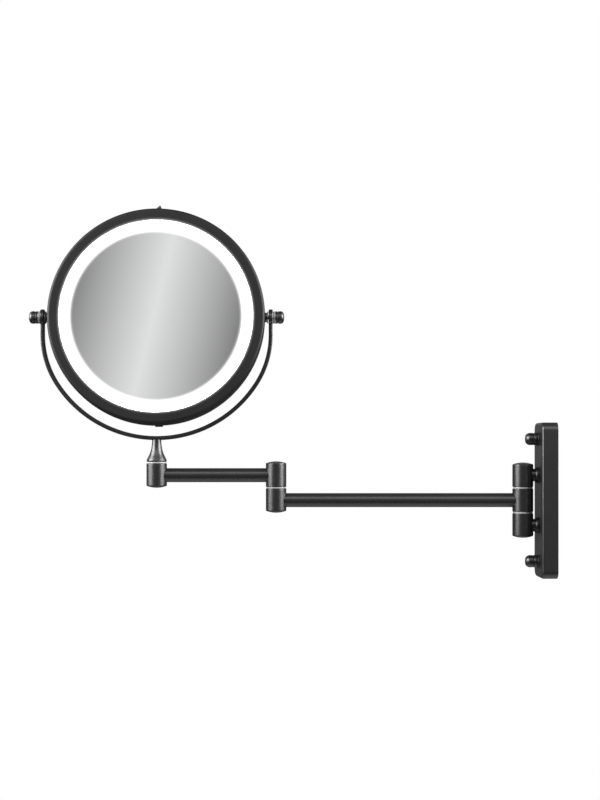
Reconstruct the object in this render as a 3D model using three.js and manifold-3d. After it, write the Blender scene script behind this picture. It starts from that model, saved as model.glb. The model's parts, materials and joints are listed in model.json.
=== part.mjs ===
// Extendable shaving mirror: a lit, double-sided tilting mirror on a folding arm with a wall plate.
// Millimetres, +Z up. The origin is the middle of the wall plate's back face. The arms reach out
// along -X, and the lit side of the mirror faces -Y.
import * as THREE from 'three';
import { mergeVertices } from 'three/addons/utils/BufferGeometryUtils.js';
import Module from 'manifold-3d';

const wasm = await Module();
wasm.setup();

// ---------------------------------------------------------------- driving dimensions

// Where the upright axes stand, and the height of the tilt axis
const WALL_HINGE_X = -31.4;
const LONG_ARM = 246.7;
const SHORT_ARM = 119.4;
const ELBOW_X = WALL_HINGE_X - LONG_ARM;
const NECK_X = ELBOW_X - SHORT_ARM;
const PIVOT_Z = 182.6;
const HEAD_LEAN = THREE.MathUtils.degToRad(5);

// Fits
const RUNNING_GAP = 0.12;
const CUT_GAP = 0.25;
const PIN_RADIUS = 4;
const PIN_BORE = 4.3;

// Wall plate
const PLATE_DEPTH = 16;
const PLATE_WIDTH = 46;
const PLATE_HEIGHT = 154.8;
const PLATE_CORNER = 8;
const PLATE_EDGE = 2.4;
const PLATE_WALL = 1.8;
const BRACKET_DEPTH = 7;
const BRACKET_SHEET = 2;
const BRACKET_WIDTH = 38;
const BRACKET_HEIGHT = 144;
const WALL_SCREW_Z = 42;
const STUD_Z = 61.1;
const STUD_RADIUS = 2.3;

// Hinge barrels: each barrel ends flat at its washer, and a free end is domed
const BARREL_RADIUS = 10.25;
const WALL_BARREL_RADIUS = 10.35;
const FLAT_END = 11.7;
const ROUND_END = 12.6;
const ELBOW_TOP_END = 13.9;
const DOME_HEIGHT = 1.7;
const DOME_EDGE = 1.1;
const WALL_MIDDLE_END = 11.4;
const WALL_WASHER = 1.7;
const ELBOW_WASHER = 1.3;
const NECK_WASHER = 1.5;
const WASHER_RADIUS = 9.8;
const WASHER_BORE = 4.4;

// Heights that follow from the stack of barrels and washers
const BRACKET_BARREL_START = WALL_MIDDLE_END + WALL_WASHER + 2 * RUNNING_GAP;
const POST_Z = BRACKET_BARREL_START + FLAT_END;
const SHORT_ARM_Z = 2 * FLAT_END + ELBOW_WASHER + 2 * RUNNING_GAP;
const NECK_WASHER_Z = SHORT_ARM_Z + FLAT_END + RUNNING_GAP;
const NECK_BASE_Z = NECK_WASHER_Z + NECK_WASHER + RUNNING_GAP;

// Arm tubes
const TUBE_RADIUS = 7.05;
const TUBE_WALL = 1.2;

// Yoke: a flat bar bent to three tangent arcs, with an upright stretch below each eye
const YOKE_HALF_WIDTH = 114;
const YOKE_DROP = 120.6;
const YOKE_MAIN_RADIUS = 118.5;
const YOKE_SIDE_RADIUS = 90;
const BAR_THICKNESS = 4.1;
const BAR_WIDTH = 7.4;
const BAR_EDGE = 0.8;
const EYE_RADIUS = 8.1;

// Mirror head, measured from the tilt axis: radii, and depths with the lit face at minus
const HEAD_RADIUS = 108.4;
const HEAD_HALF_DEPTH = 14;
const OPENING_RADIUS = 96.6;
const LIP = 1.5;
const GLASS_RADIUS = 86;
const GLASS_THICKNESS = 3;
const DIFFUSER_INNER = 86.4;
const DIFFUSER_OUTER = 104.4;
const DIFFUSER_THICKNESS = 2.4;
const SHELL_INNER = 105;
const SHELL_SPLIT = -6;
const COVER_SPLIT = 5;
const WEB = 1.5;
const SPLIT_GAP = 0.3;
const MAGNIFIER_RADIUS = 102.1;
const MAGNIFIER_CURVATURE = 1400;
const MAGNIFIER_THICKNESS = 1.8;
const MAGNIFIER_CENTRE = 8.4;
const CELL_RADIUS = 5.25;
const CELL_LENGTH = 44.5;
const CELL_PITCH = 11.6;
const LED_COUNT = 24;

// Tilt pivot, distances outward from the middle of the head
const BUSH_FACE = 110.3;
const BUSH_INNER_END = 97.5;
const BUSH_RADIUS = 4.85;
const BUSH_SHANK = 3.1;
const BOSS_RADIUS = 4.4;
const BUSH_BORE = 2.4;
const PIVOT_WASHER_RADIUS = 6.1;
const STEM_RADIUS = 2.1;
const EYE_BORE = 2.8;
const KNOB_START = 118.5;
const KNOB_TIP = 127.5;
const KNOB_RADIUS = 6.3;

// Inside the head
const LED_WIRE_Z = 86;
const SLIDER_PLATE_Z = 102;

// Light switch slider
const SLIDER_REST_X = 2;
const SLIDER_HALF_TRAVEL = 2;
const SLIDER_DEPTH_Y = -2.6;
const FIN_HEIGHT = 4.3;

// Facets round a full circle
const FINE = 40;
const MEDIUM = 16;
const SMALL = 10;

// ---------------------------------------------------------------- materials

const satinBlack = { color: 0x2b2b2c, roughness: 0.42, metalness: 0.35 };
const matteBlack = { color: 0x232324, roughness: 0.6, metalness: 0.05 };
const nylon = { color: 0xe9e9e6, roughness: 0.5, metalness: 0 };
const steel = { color: 0xb4b6b8, roughness: 0.35, metalness: 0.9 };
const brass = { color: 0xc2a25a, roughness: 0.35, metalness: 0.9 };
const silvered = { color: 0xdfe3e6, roughness: 0.03, metalness: 1 };
const opal = { color: 0xffffff, roughness: 0.4, metalness: 0, emissive: 0xffffff };
const whiteBoard = { color: 0xf0f0ea, roughness: 0.6, metalness: 0 };
const greenBoard = { color: 0x2c6b45, roughness: 0.5, metalness: 0 };
const cellSleeve = { color: 0x3f6f9f, roughness: 0.35, metalness: 0.2 };
const redWire = { color: 0xb03028, roughness: 0.5, metalness: 0 };
const blackWire = { color: 0x1b1b1c, roughness: 0.5, metalness: 0 };

// ---------------------------------------------------------------- joining and cutting

function solidOf(geometry) {
  const bare = geometry.clone();
  bare.deleteAttribute('normal');
  bare.deleteAttribute('uv');
  const merged = mergeVertices(bare, 1e-4);
  const corners = merged.index.array;
  const faces = [];
  for (let i = 0; i < corners.length; i += 3) {
    const [a, b, c] = corners.slice(i, i + 3);
    // a turned shape has empty faces where its profile meets the axis
    if (a !== b && b !== c && c !== a) faces.push(a, b, c);
  }
  return new wasm.Manifold(new wasm.Mesh({
    numProp: 3,
    vertProperties: merged.attributes.position.array,
    triVerts: new Uint32Array(faces),
  }));
}

function geometryOf(solid) {
  const mesh = solid.getMesh();
  const geometry = new THREE.BufferGeometry();
  geometry.setAttribute('position', new THREE.BufferAttribute(mesh.vertProperties, 3));
  geometry.setIndex(new THREE.BufferAttribute(mesh.triVerts, 1));
  geometry.computeVertexNormals();
  return geometry;
}

function join(...shapes) {
  return geometryOf(shapes.map(solidOf).reduce((whole, next) => whole.add(next)));
}

function cut(body, ...tools) {
  return geometryOf(tools.map(solidOf).reduce((rest, tool) => rest.subtract(tool), solidOf(body)));
}

// ---------------------------------------------------------------- basic shapes

// Turns a profile of [radius, height] points about Z. It runs anticlockwise, with the radius to the
// right and the height upward, and it starts and ends on the axis or closes on itself.
function turned(profile, facets = MEDIUM) {
  const points = profile.map(([radius, height]) => new THREE.Vector2(radius, height));
  return new THREE.LatheGeometry(points, facets).rotateX(Math.PI / 2);
}

function rod(radius, from, to, facets = MEDIUM) {
  return turned([[0, from], [radius, from], [radius, to], [0, to]], facets);
}

function sleeve(outer, inner, from, to, facets = MEDIUM) {
  return turned([[inner, from], [outer, from], [outer, to], [inner, to], [inner, from]], facets);
}

// A quarter arc of profile points round the corner at [radius, height]
function rounded(radius, height, size, startAngle, steps = 4) {
  return Array.from({ length: steps + 1 }, (_, i) => {
    const angle = startAngle + (i / steps) * (Math.PI / 2);
    return [radius + size * Math.cos(angle), height + size * Math.sin(angle)];
  });
}

const alongX = (shape) => shape.rotateY(Math.PI / 2);
const alongMinusX = (shape) => shape.rotateY(-Math.PI / 2);
const alongY = (shape) => shape.rotateX(-Math.PI / 2);

function block(x, y, z) {
  const size = [x[1] - x[0], y[1] - y[0], z[1] - z[0]];
  const middle = [(x[0] + x[1]) / 2, (y[0] + y[1]) / 2, (z[0] + z[1]) / 2];
  return new THREE.BoxGeometry(...size).translate(...middle);
}

function roundedRectangle(width, height, corner) {
  const x = width / 2 - corner;
  const y = height / 2 - corner;
  const shape = new THREE.Shape();
  shape.moveTo(x + corner, -y);
  shape.absarc(x, y, corner, 0, Math.PI / 2);
  shape.absarc(-x, y, corner, Math.PI / 2, Math.PI);
  shape.absarc(-x, -y, corner, Math.PI, 1.5 * Math.PI);
  shape.absarc(x, -y, corner, 1.5 * Math.PI, 2 * Math.PI);
  return shape;
}

// Stands an extruded outline on the wall: its width along Y, its height along Z, its depth along X
const ON_WALL = new THREE.Matrix4().makeBasis(
  new THREE.Vector3(0, 1, 0),
  new THREE.Vector3(0, 0, 1),
  new THREE.Vector3(1, 0, 0),
);

// ---------------------------------------------------------------- the assembly

const assembly = new THREE.Group();
const head = new THREE.Group();
head.position.set(NECK_X, 0, PIVOT_Z);
head.rotation.x = -HEAD_LEAN;
assembly.add(head);

function add(parent, name, geometry, look, position = [0, 0, 0]) {
  const mesh = new THREE.Mesh(geometry, new THREE.MeshStandardMaterial(look));
  mesh.name = name;
  mesh.position.set(...position);
  parent.add(mesh);
}

// ---------------------------------------------------------------- wall bracket

function wallPlateCover() {
  const overrun = 4;
  const outline = roundedRectangle(PLATE_WIDTH, PLATE_HEIGHT, PLATE_CORNER);
  const body = new THREE.ExtrudeGeometry(outline, {
    depth: PLATE_DEPTH + overrun - 2 * PLATE_EDGE,
    curveSegments: 6,
    bevelSize: PLATE_EDGE,
    bevelOffset: -PLATE_EDGE,
    bevelThickness: PLATE_EDGE,
    bevelSegments: 3,
  });
  body.applyMatrix4(ON_WALL).translate(PLATE_EDGE - PLATE_DEPTH, 0, 0);
  const room = roundedRectangle(
    PLATE_WIDTH - 2 * PLATE_WALL,
    PLATE_HEIGHT - 2 * PLATE_WALL,
    PLATE_CORNER - PLATE_WALL,
  );
  const pocket = new THREE.ExtrudeGeometry(room, {
    depth: PLATE_DEPTH,
    curveSegments: 6,
    bevelEnabled: false,
  });
  pocket.applyMatrix4(ON_WALL).translate(PLATE_WALL - PLATE_DEPTH, 0, 0);
  const behindWall = block([0, 10], [-PLATE_WIDTH, PLATE_WIDTH], [-PLATE_HEIGHT, PLATE_HEIGHT]);
  const holes = [-STUD_Z, -POST_Z, POST_Z, STUD_Z].map((z) => (
    alongX(rod(STUD_RADIUS + CUT_GAP, -PLATE_DEPTH - 1, -PLATE_DEPTH / 2, SMALL)).translate(0, 0, z)
  ));
  return cut(body, pocket, behindWall, ...holes);
}

// A channel with its back on the wall, two slotted wall-screw holes and two stud holes
function mountingBracket() {
  const halfWidth = BRACKET_WIDTH / 2;
  const halfHeight = BRACKET_HEIGHT / 2;
  const body = block([-BRACKET_DEPTH, 0], [-halfWidth, halfWidth], [-halfHeight, halfHeight]);
  const channel = block(
    [-BRACKET_DEPTH - 1, -BRACKET_SHEET],
    [BRACKET_SHEET - halfWidth, halfWidth - BRACKET_SHEET],
    [-halfHeight - 1, halfHeight + 1],
  );
  const slots = [-WALL_SCREW_Z, WALL_SCREW_Z].map((z) => {
    const outline = roundedRectangle(14, 5.4, 2.6);
    const slot = new THREE.ExtrudeGeometry(outline, { depth: 6, curveSegments: 4, bevelEnabled: false });
    return slot.applyMatrix4(ON_WALL).translate(-4, 0, z);
  });
  const holes = [-STUD_Z, STUD_Z].map((z) => (
    alongX(rod(STUD_RADIUS + CUT_GAP, -4, 1, SMALL)).translate(0, 0, z)
  ));
  return cut(body, channel, ...slots, ...holes);
}

// Profiles below start at the wall side and grow outward from it
function stud() {
  const foot = BRACKET_SHEET + CUT_GAP;
  return alongMinusX(turned([
    [0, foot],
    [4.5, foot],
    [4.5, foot + 1.4],
    [STUD_RADIUS, foot + 1.4],
    [STUD_RADIUS, PLATE_DEPTH + 8.5],
    [0, PLATE_DEPTH + 8.5],
  ], SMALL));
}

function capNut() {
  const start = PLATE_DEPTH + 1.1;
  const tip = PLATE_DEPTH + 13.2;
  const dome = 3.8;
  const nut = turned([
    [0, start],
    [6.3, start],
    [6.3, start + 3.2],
    [5.7, start + 3.5],
    [5.7, start + 4.1],
    [6.1, start + 4.4],
    ...rounded(6.1 - dome, tip - dome, dome, 0),
    [0, tip],
  ], MEDIUM);
  return alongMinusX(cut(nut, rod(STUD_RADIUS + CUT_GAP, start - 1, tip - 4.4, SMALL)));
}

function hingePost() {
  const start = PLATE_DEPTH + RUNNING_GAP;
  const post = alongMinusX(turned([
    [2.8, start],
    [8, start],
    [8, start + 2.4],
    [7.5, start + 3],
    [6.4, start + 3.3],
    [6.4, -WALL_HINGE_X],
    [2.8, -WALL_HINGE_X],
    [2.8, start],
  ], MEDIUM));
  const barrelRoom = rod(WALL_BARREL_RADIUS + CUT_GAP, -20, 20).translate(WALL_HINGE_X, 0, 0);
  return cut(post, barrelRoom);
}

// The screw's head sits inside the cover and its shank ends in the barrel
function postScrew() {
  const headEnd = PLATE_DEPTH - PLATE_WALL - CUT_GAP;
  return alongMinusX(turned([
    [0, headEnd - 2.8],
    [4.3, headEnd - 2.8],
    [4.3, headEnd],
    [STUD_RADIUS, headEnd],
    [STUD_RADIUS, 26.2],
    [0, 26.2],
  ], SMALL));
}

// A barrel about its own middle: flat at the top, gently domed below, bored from the flat end
function endBarrel(radius, end = ROUND_END) {
  const body = turned([
    [0, -end],
    [radius * 0.35, 0.2 - end],
    [radius * 0.7, 0.8 - end],
    [radius - DOME_EDGE, DOME_HEIGHT - end],
    [radius, DOME_HEIGHT + DOME_EDGE - end],
    [radius, FLAT_END - 0.4],
    [radius - 0.4, FLAT_END],
    [0, FLAT_END],
  ], MEDIUM);
  return cut(body, rod(PIN_BORE, -8, FLAT_END + 1, SMALL));
}

function bracketBarrel() {
  const screwHole = alongX(rod(STUD_RADIUS + CUT_GAP, PIN_RADIUS, WALL_BARREL_RADIUS + 1, SMALL));
  return cut(endBarrel(WALL_BARREL_RADIUS), screwHole);
}

add(assembly, 'wall_plate_cover', wallPlateCover(), satinBlack);
add(assembly, 'mounting_bracket', mountingBracket(), satinBlack);
for (const [place, side] of [['upper', 1], ['lower', -1]]) {
  const washer = alongMinusX(sleeve(6.8, 2.8, PLATE_DEPTH + RUNNING_GAP, PLATE_DEPTH + 0.98));
  add(assembly, `stud_${place}`, stud(), steel, [0, 0, side * STUD_Z]);
  add(assembly, `cap_washer_${place}`, washer, satinBlack, [0, 0, side * STUD_Z]);
  add(assembly, `cap_nut_${place}`, capNut(), satinBlack, [0, 0, side * STUD_Z]);
  add(assembly, `hinge_post_${place}`, hingePost(), satinBlack, [0, 0, side * POST_Z]);
  add(assembly, `post_screw_${place}`, postScrew(), steel, [0, 0, side * POST_Z]);
  const barrel = side > 0 ? bracketBarrel().rotateX(Math.PI) : bracketBarrel();
  add(assembly, `bracket_barrel_${place}`, barrel, satinBlack, [WALL_HINGE_X, 0, side * POST_Z]);
}
const wallPinEnd = POST_Z + 7.6;
add(assembly, 'wall_hinge_pin', rod(PIN_RADIUS, -wallPinEnd, wallPinEnd, SMALL), steel, [WALL_HINGE_X, 0, 0]);

// ---------------------------------------------------------------- arms

// A round tube from one upright axis to the next, each end shaped to sit against its barrel
function armTube(fromX, toX, fromRadius, toRadius) {
  const tube = alongX(sleeve(TUBE_RADIUS, TUBE_RADIUS - TUBE_WALL, fromX, toX));
  return cut(
    tube,
    rod(fromRadius + CUT_GAP, -20, 20).translate(fromX, 0, 0),
    rod(toRadius + CUT_GAP, -20, 20).translate(toX, 0, 0),
  );
}

function flatWasher(thickness, radius = WASHER_RADIUS) {
  return sleeve(radius, WASHER_BORE, 0, thickness);
}

const wallBarrel = sleeve(WALL_BARREL_RADIUS, PIN_BORE, -WALL_MIDDLE_END, WALL_MIDDLE_END);
const longTube = armTube(ELBOW_X, WALL_HINGE_X, BARREL_RADIUS, WALL_BARREL_RADIUS);
const wallWasherZ = WALL_MIDDLE_END + RUNNING_GAP;
add(assembly, 'long_tube', longTube, satinBlack);
add(assembly, 'long_arm_wall_barrel', wallBarrel, satinBlack, [WALL_HINGE_X, 0, 0]);
add(assembly, 'long_arm_elbow_barrel', endBarrel(BARREL_RADIUS), satinBlack, [ELBOW_X, 0, 0]);
add(assembly, 'wall_washer_upper', flatWasher(WALL_WASHER), nylon, [WALL_HINGE_X, 0, wallWasherZ]);
add(assembly, 'wall_washer_lower', flatWasher(WALL_WASHER), nylon,
  [WALL_HINGE_X, 0, -wallWasherZ - WALL_WASHER]);
add(assembly, 'elbow_washer', flatWasher(ELBOW_WASHER), nylon, [ELBOW_X, 0, FLAT_END + RUNNING_GAP]);
add(assembly, 'elbow_pin', rod(PIN_RADIUS, -7.7, SHORT_ARM_Z + 7.7, SMALL), steel, [ELBOW_X, 0, 0]);

const shortTube = armTube(NECK_X, ELBOW_X, BARREL_RADIUS, BARREL_RADIUS);
const upperElbowBarrel = endBarrel(BARREL_RADIUS, ELBOW_TOP_END).rotateX(Math.PI);
add(assembly, 'short_tube', shortTube, satinBlack, [0, 0, SHORT_ARM_Z]);
add(assembly, 'short_arm_elbow_barrel', upperElbowBarrel, satinBlack, [ELBOW_X, 0, SHORT_ARM_Z]);
add(assembly, 'neck_barrel', endBarrel(BARREL_RADIUS), satinBlack, [NECK_X, 0, SHORT_ARM_Z]);
add(assembly, 'neck_washer', flatWasher(NECK_WASHER), nylon, [NECK_X, 0, NECK_WASHER_Z]);
add(assembly, 'neck_pin', rod(PIN_RADIUS, SHORT_ARM_Z - 7.7, 46.6, SMALL), steel, [NECK_X, 0, 0]);

// ---------------------------------------------------------------- yoke

const BAR_BOTTOM_Z = PIVOT_Z - YOKE_DROP;
const SPIGOT_RADIUS = 2.2;

// A flared foot over the swivel pin, drawn in to a slim stem below the bar
function yokeNeck() {
  const top = BAR_BOTTOM_Z - BAR_THICKNESS / 2 - CUT_GAP;
  const body = turned([
    [0, NECK_BASE_Z],
    [9.4, NECK_BASE_Z],
    [9.9, NECK_BASE_Z + 0.9],
    [10.3, NECK_BASE_Z + 1.9],
    [9.45, NECK_BASE_Z + 3.9],
    [7.8, NECK_BASE_Z + 6.9],
    [6.7, NECK_BASE_Z + 9.4],
    [5.9, NECK_BASE_Z + 11.9],
    [4.95, NECK_BASE_Z + 16.9],
    [4.7, top],
    [SPIGOT_RADIUS, top],
    [SPIGOT_RADIUS, BAR_BOTTOM_Z + 0.9],
    [0, BAR_BOTTOM_Z + 0.9],
  ], MEDIUM);
  return cut(body, rod(PIN_BORE, NECK_BASE_Z - 1, 47, SMALL));
}

// The bar's outline about the tilt axis, one side offset outward and the other inward
function yokeOutline() {
  const half = BAR_THICKNESS / 2;
  const sideX = YOKE_HALF_WIDTH - YOKE_SIDE_RADIUS;
  const mainZ = YOKE_MAIN_RADIUS - YOKE_DROP;
  const meet = Math.acos(sideX / (YOKE_MAIN_RADIUS - YOKE_SIDE_RADIUS));
  const sideZ = mainZ - (YOKE_MAIN_RADIUS - YOKE_SIDE_RADIUS) * Math.sin(meet);
  const shape = new THREE.Shape();
  shape.moveTo(YOKE_HALF_WIDTH + half, 0);
  shape.absarc(sideX, sideZ, YOKE_SIDE_RADIUS + half, 0, -meet, true);
  shape.absarc(0, mainZ, YOKE_MAIN_RADIUS + half, -meet, meet - Math.PI, true);
  shape.absarc(-sideX, sideZ, YOKE_SIDE_RADIUS + half, meet - Math.PI, -Math.PI, true);
  shape.lineTo(-YOKE_HALF_WIDTH - half, 0);
  shape.lineTo(half - YOKE_HALF_WIDTH, 0);
  shape.absarc(-sideX, sideZ, YOKE_SIDE_RADIUS - half, -Math.PI, meet - Math.PI, false);
  shape.absarc(0, mainZ, YOKE_MAIN_RADIUS - half, meet - Math.PI, -meet, false);
  shape.absarc(sideX, sideZ, YOKE_SIDE_RADIUS - half, -meet, 0, false);
  shape.lineTo(YOKE_HALF_WIDTH - half, 0);
  return shape;
}

function yokeBar() {
  const bar = new THREE.ExtrudeGeometry(yokeOutline(), {
    depth: BAR_WIDTH - 2 * BAR_EDGE,
    curveSegments: 9,
    bevelSize: BAR_EDGE,
    bevelOffset: -BAR_EDGE,
    bevelThickness: BAR_EDGE,
    bevelSegments: 1,
  });
  bar.translate(0, 0, BAR_EDGE - BAR_WIDTH / 2).rotateX(Math.PI / 2);
  const eyes = [-1, 1].map((side) => (
    alongX(rod(EYE_RADIUS, -BAR_THICKNESS / 2, BAR_THICKNESS / 2)).translate(side * YOKE_HALF_WIDTH, 0, 0)
  ));
  const eyeBore = alongX(rod(EYE_BORE, -YOKE_HALF_WIDTH - 5, YOKE_HALF_WIDTH + 5, SMALL));
  const spigotHole = rod(SPIGOT_RADIUS + CUT_GAP, -YOKE_DROP - 5, 1.2 - YOKE_DROP, SMALL);
  return cut(join(bar, ...eyes), eyeBore, spigotHole);
}

add(assembly, 'yoke_neck', yokeNeck(), satinBlack, [NECK_X, 0, 0]);
add(assembly, 'yoke_bar', yokeBar(), satinBlack, [NECK_X, 0, PIVOT_Z]);

// ---------------------------------------------------------------- mirror head

const LIP_BACK = LIP - HEAD_HALF_DEPTH;
const WEB_REAR = SHELL_SPLIT + WEB;

function frontBezel() {
  const edge = 3;
  return alongY(turned([
    [OPENING_RADIUS, LIP_BACK],
    [OPENING_RADIUS, 0.6 - HEAD_HALF_DEPTH],
    [OPENING_RADIUS + 0.6, -HEAD_HALF_DEPTH],
    ...rounded(HEAD_RADIUS - edge, edge - HEAD_HALF_DEPTH, edge, -Math.PI / 2, 3),
    [HEAD_RADIUS, SHELL_SPLIT - SPLIT_GAP],
    [SHELL_INNER, SHELL_SPLIT - SPLIT_GAP],
    [SHELL_INNER, LIP_BACK],
    [OPENING_RADIUS, LIP_BACK],
  ], FINE));
}

function frontMirror() {
  const front = LIP_BACK + SPLIT_GAP;
  return alongY(rod(GLASS_RADIUS, front, front + GLASS_THICKNESS, FINE));
}

function diffuserRing() {
  const front = LIP_BACK + SPLIT_GAP;
  return alongY(sleeve(DIFFUSER_OUTER, DIFFUSER_INNER, front, front + DIFFUSER_THICKNESS, FINE));
}

// A ring board with its row of LEDs facing the diffuser
function ledBoard() {
  const face = -8.2;
  const ring = alongY(sleeve(101.8, 86.5, face, face + 1.2, FINE));
  const leds = Array.from({ length: LED_COUNT }, (_, i) => (
    block([-1.4, 1.4], [face - 0.9, face + 0.3], [93, 97]).rotateY((i / LED_COUNT) * 2 * Math.PI)
  ));
  return join(ring, ...leds);
}

const TRAY_Z = 16;
const TRAY_HALF_LENGTH = 29;
const TRAY_HALF_HEIGHT = 18.6;
const TRAY_WALL = 1.4;
const BOARD_Z = -34;
const BOARD_SCREW_X = 17;

// A drum with a web across it. The web carries the cells, the board and the switch.
function headHousing() {
  const drum = alongY(turned([
    [0, SHELL_SPLIT],
    [102.4, SHELL_SPLIT],
    [102.4, SHELL_SPLIT - 2.4],
    [104.5, SHELL_SPLIT - 2.4],
    [104.5, SHELL_SPLIT],
    [HEAD_RADIUS, SHELL_SPLIT],
    [HEAD_RADIUS, COVER_SPLIT - SPLIT_GAP],
    [SHELL_INNER + 0.3, COVER_SPLIT - SPLIT_GAP],
    [SHELL_INNER + 0.3, WEB_REAR],
    [0, WEB_REAR],
  ], FINE));
  const low = TRAY_Z - TRAY_HALF_HEIGHT;
  const high = TRAY_Z + TRAY_HALF_HEIGHT;
  const inside = TRAY_HALF_LENGTH - TRAY_WALL;
  const trayWall = cut(
    block([-TRAY_HALF_LENGTH, TRAY_HALF_LENGTH], [WEB_REAR - 0.5, 3], [low, high]),
    block([-inside, inside], [WEB_REAR - 1, 4], [low + TRAY_WALL, high - TRAY_WALL]),
  );
  const boss = rod(BOSS_RADIUS, BUSH_INNER_END, SHELL_INNER + 1, SMALL);
  const bushHole = rod(BUSH_SHANK + CUT_GAP, BUSH_INNER_END - 1, HEAD_RADIUS + 2, SMALL);
  const slotX = SLIDER_HALF_TRAVEL + 2.7;
  const sliderSlot = block(
    [-slotX, slotX],
    [SLIDER_DEPTH_Y - 1.7, SLIDER_DEPTH_Y + 1.7],
    [SHELL_INNER - 3, HEAD_RADIUS + 1],
  );
  const wireHole = alongY(rod(2, SHELL_SPLIT - 1, WEB_REAR + 1, SMALL)).translate(0, 0, LED_WIRE_Z);
  const screwHoles = [-1, 1].map((side) => (
    alongY(rod(1.3, SHELL_SPLIT + 0.4, WEB_REAR + 1, SMALL)).translate(side * BOARD_SCREW_X, 0, BOARD_Z)
  ));
  return cut(
    join(drum, trayWall, alongX(boss.clone()), alongMinusX(boss.clone())),
    alongX(bushHole.clone()),
    alongMinusX(bushHole.clone()),
    sliderSlot,
    wireHole,
    ...screwHoles,
  );
}

function cell() {
  const nub = 1;
  return alongX(turned([
    [0, -CELL_LENGTH / 2],
    [CELL_RADIUS, -CELL_LENGTH / 2],
    [CELL_RADIUS, CELL_LENGTH / 2 - nub],
    [1.9, CELL_LENGTH / 2 - nub],
    [1.9, CELL_LENGTH / 2],
    [0, CELL_LENGTH / 2],
  ], SMALL));
}

// A contact strip with one cone spring facing each cell
function batteryContact() {
  const height = TRAY_HALF_HEIGHT - TRAY_WALL - 0.4;
  const strip = block([0, 0.8], [WEB_REAR + 0.4, 2.6], [-height, height]);
  const springs = [-1, 0, 1].map((place) => (
    alongX(turned([[0, 0.4], [3.2, 0.4], [1.6, 3.6], [0, 3.6]], SMALL)).translate(0, -0.8, place * CELL_PITCH)
  ));
  return join(strip, ...springs);
}

function driverBoard() {
  const rear = WEB_REAR + 0.4;
  const board = block([-22, 22], [rear, rear + 1.4], [-11, 11]);
  const chip = block([-4, 4], [rear + 1.2, rear + 3], [-4, 4]);
  const coil = alongY(rod(3.2, rear + 1.2, rear + 5, SMALL)).translate(10, 0, 2);
  const capacitor = block([-12, -8], [rear + 1.2, rear + 4], [-3, 3]);
  const holes = [-1, 1].map((side) => (
    alongY(rod(1.5, rear - 1, rear + 3, SMALL)).translate(side * BOARD_SCREW_X, 0, 0)
  ));
  return cut(join(board, chip, coil, capacitor), ...holes);
}

function boardScrew() {
  const seat = WEB_REAR + 2.1;
  return alongY(turned([
    [0, SHELL_SPLIT + 0.7],
    [1, SHELL_SPLIT + 0.7],
    [1, seat],
    [2.4, seat],
    [2.4, seat + 1.4],
    [0, seat + 1.4],
  ], SMALL));
}

function wire(points) {
  const route = new THREE.CatmullRomCurve3(points.map((point) => new THREE.Vector3(...point)));
  const section = new THREE.Shape().absarc(0, 0, 0.8, 0, 2 * Math.PI);
  return new THREE.ExtrudeGeometry(section, { extrudePath: route, steps: 12, curveSegments: 3 });
}

// A threaded insert with its flange outside the housing
function pivotBush() {
  const flange = HEAD_RADIUS + SPLIT_GAP;
  return turned([
    [BUSH_BORE, BUSH_INNER_END],
    [BUSH_SHANK, BUSH_INNER_END],
    [BUSH_SHANK, flange],
    [BUSH_RADIUS, flange],
    [BUSH_RADIUS, BUSH_FACE - 0.4],
    [BUSH_RADIUS - 0.4, BUSH_FACE],
    [BUSH_BORE, BUSH_FACE],
    [BUSH_BORE, BUSH_INNER_END],
  ], MEDIUM);
}

add(head, 'front_bezel', frontBezel(), matteBlack);
add(head, 'front_mirror', frontMirror(), silvered);
add(head, 'light_diffuser', diffuserRing(), opal);
add(head, 'led_board', ledBoard(), whiteBoard);
add(head, 'head_housing', headHousing(), matteBlack);

const cellDepth = WEB_REAR + 0.35 + CELL_RADIUS;
for (const [index, place] of [-1, 0, 1].entries()) {
  add(head, `battery_cell_${index + 1}`, cell(), cellSleeve, [-1.4, cellDepth, TRAY_Z + place * CELL_PITCH]);
}
const contactX = TRAY_HALF_LENGTH - TRAY_WALL - 0.3;
const leftContact = batteryContact();
const rightContact = batteryContact().rotateZ(Math.PI).translate(0, WEB_REAR + 3, 0);
add(head, 'battery_contact_left', leftContact, brass, [-contactX, 0, TRAY_Z]);
add(head, 'battery_contact_right', rightContact, brass, [contactX, 0, TRAY_Z]);
add(head, 'driver_board', driverBoard(), greenBoard, [0, 0, BOARD_Z]);
add(head, 'board_screw_left', boardScrew(), steel, [-BOARD_SCREW_X, 0, BOARD_Z]);
add(head, 'board_screw_right', boardScrew(), steel, [BOARD_SCREW_X, 0, BOARD_Z]);
add(head, 'switch_body', block([-7, 7], [WEB_REAR + 0.4, 1.6], [88, SLIDER_PLATE_Z - 0.4]), matteBlack);

const boardTop = BOARD_Z + 11;
add(head, 'battery_wire', wire([
  [-31, -2.6, 4],
  [-34, -2.4, -6],
  [-33, -2.4, -20],
  [-26, -1.6, -29],
  [-22.6, -1, -32],
]), redWire);
add(head, 'led_wire', wire([
  [14, -1.4, boardTop + 0.8],
  [12, -2.2, boardTop + 6],
  [40, -2.4, boardTop + 20],
  [44, -2.4, 40],
  [26, -2.4, 70],
  [9.4, -2, 86],
]), blackWire);

// ---------------------------------------------------------------- rear cover

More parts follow.
